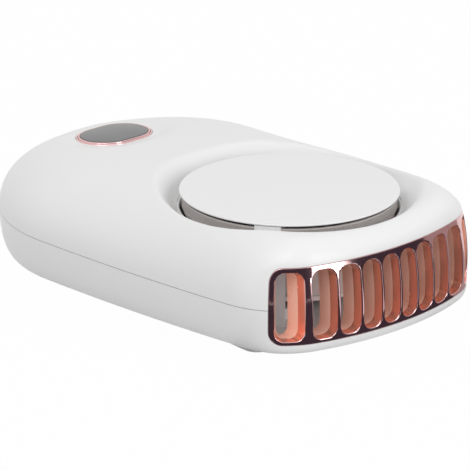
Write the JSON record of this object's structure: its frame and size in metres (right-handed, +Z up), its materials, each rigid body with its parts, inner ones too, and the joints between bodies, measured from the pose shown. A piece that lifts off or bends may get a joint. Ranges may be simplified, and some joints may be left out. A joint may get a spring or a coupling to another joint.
{
  "type": "neck fan",
  "caption": "Pocket-sized neck fan: white pill-shaped housing, covered centrifugal intake, bright slotted outlet around one end, push button and belt clip.",
  "frame": {"origin": "Middle of the fan in plan, on the surface that the underside of its belt clip rests on.", "axes": "X is the fan's width, Y runs from the outlet at -Y to the button end at +Y, Z is up, out of the face with the intake cover."},
  "size_m": [0.0804, 0.123, 0.0343],
  "materials": {
    "white_plastic": "satin",
    "rose_chrome": "polished",
    "key_grey": "polished",
    "clip_plastic": "satin",
    "black_plastic": "matte",
    "wheel_plastic": "matte",
    "steel": "polished",
    "magnet": "matte",
    "bronze": "satin",
    "core_steel": "satin",
    "copper": "satin",
    "board_green": "satin",
    "cell_foil": "satin",
    "foam": "matte",
    "wire": "satin",
    "chip_black": "matte"
  },
  "bodies": {
    "housing": {"top_shell": "white_plastic", "bottom_shell": "white_plastic", "intake_cover": "white_plastic", "outlet_grille": "rose_chrome", "button_ring": "rose_chrome", "key_switch": "black_plastic", "main_board": "board_green", "charge_socket": "steel", "control_chips": "chip_black", "boost_coil": "magnet", "battery_cell": "cell_foil", "battery_pad": "foam", "battery_leads": "wire", "motor_leads": "wire", "bearing_upper": "bronze", "bearing_lower": "bronze", "stator_core": "core_steel", "stator_coils": "copper", "motor_base": "black_plastic", "motor_board": "board_green", "motor_screws": "steel", "board_screws": "steel", "case_screws": "steel", "clip_pin": "steel", "clip_spring": "steel"},
    "rotor": {"fan_wheel": "wheel_plastic", "rotor_cup": "steel", "rotor_magnet": "magnet", "motor_shaft": "steel", "shaft_clip": "steel"},
    "key": {"power_key": "key_grey", "key_plunger": "black_plastic"},
    "clip": {"belt_clip": "clip_plastic"}
  },
  "joints": [
    {"name": "rotor_spin", "type": "hinge", "parent": "housing", "child": "rotor", "pos_m": [0, -0.0238, 0.0205], "axis": [0, 0, 1], "continuous": true},
    {"name": "key_press", "type": "slide", "parent": "housing", "child": "key", "axis": [0, -0.0698, -0.9976], "range_m": [0, 0.0005], "stiffness_N_per_m": 1500, "springref_m": -0.0005},
    {"name": "clip_hinge", "type": "hinge", "parent": "housing", "child": "clip", "pos_m": [0, -0.024, 0.0044], "axis": [-1, 0, 0], "range_deg": [0, 12], "stiffness_Nm_per_rad": 0.6, "springref_deg": -11.46, "deforming": ["clip_spring"]}
  ]
}
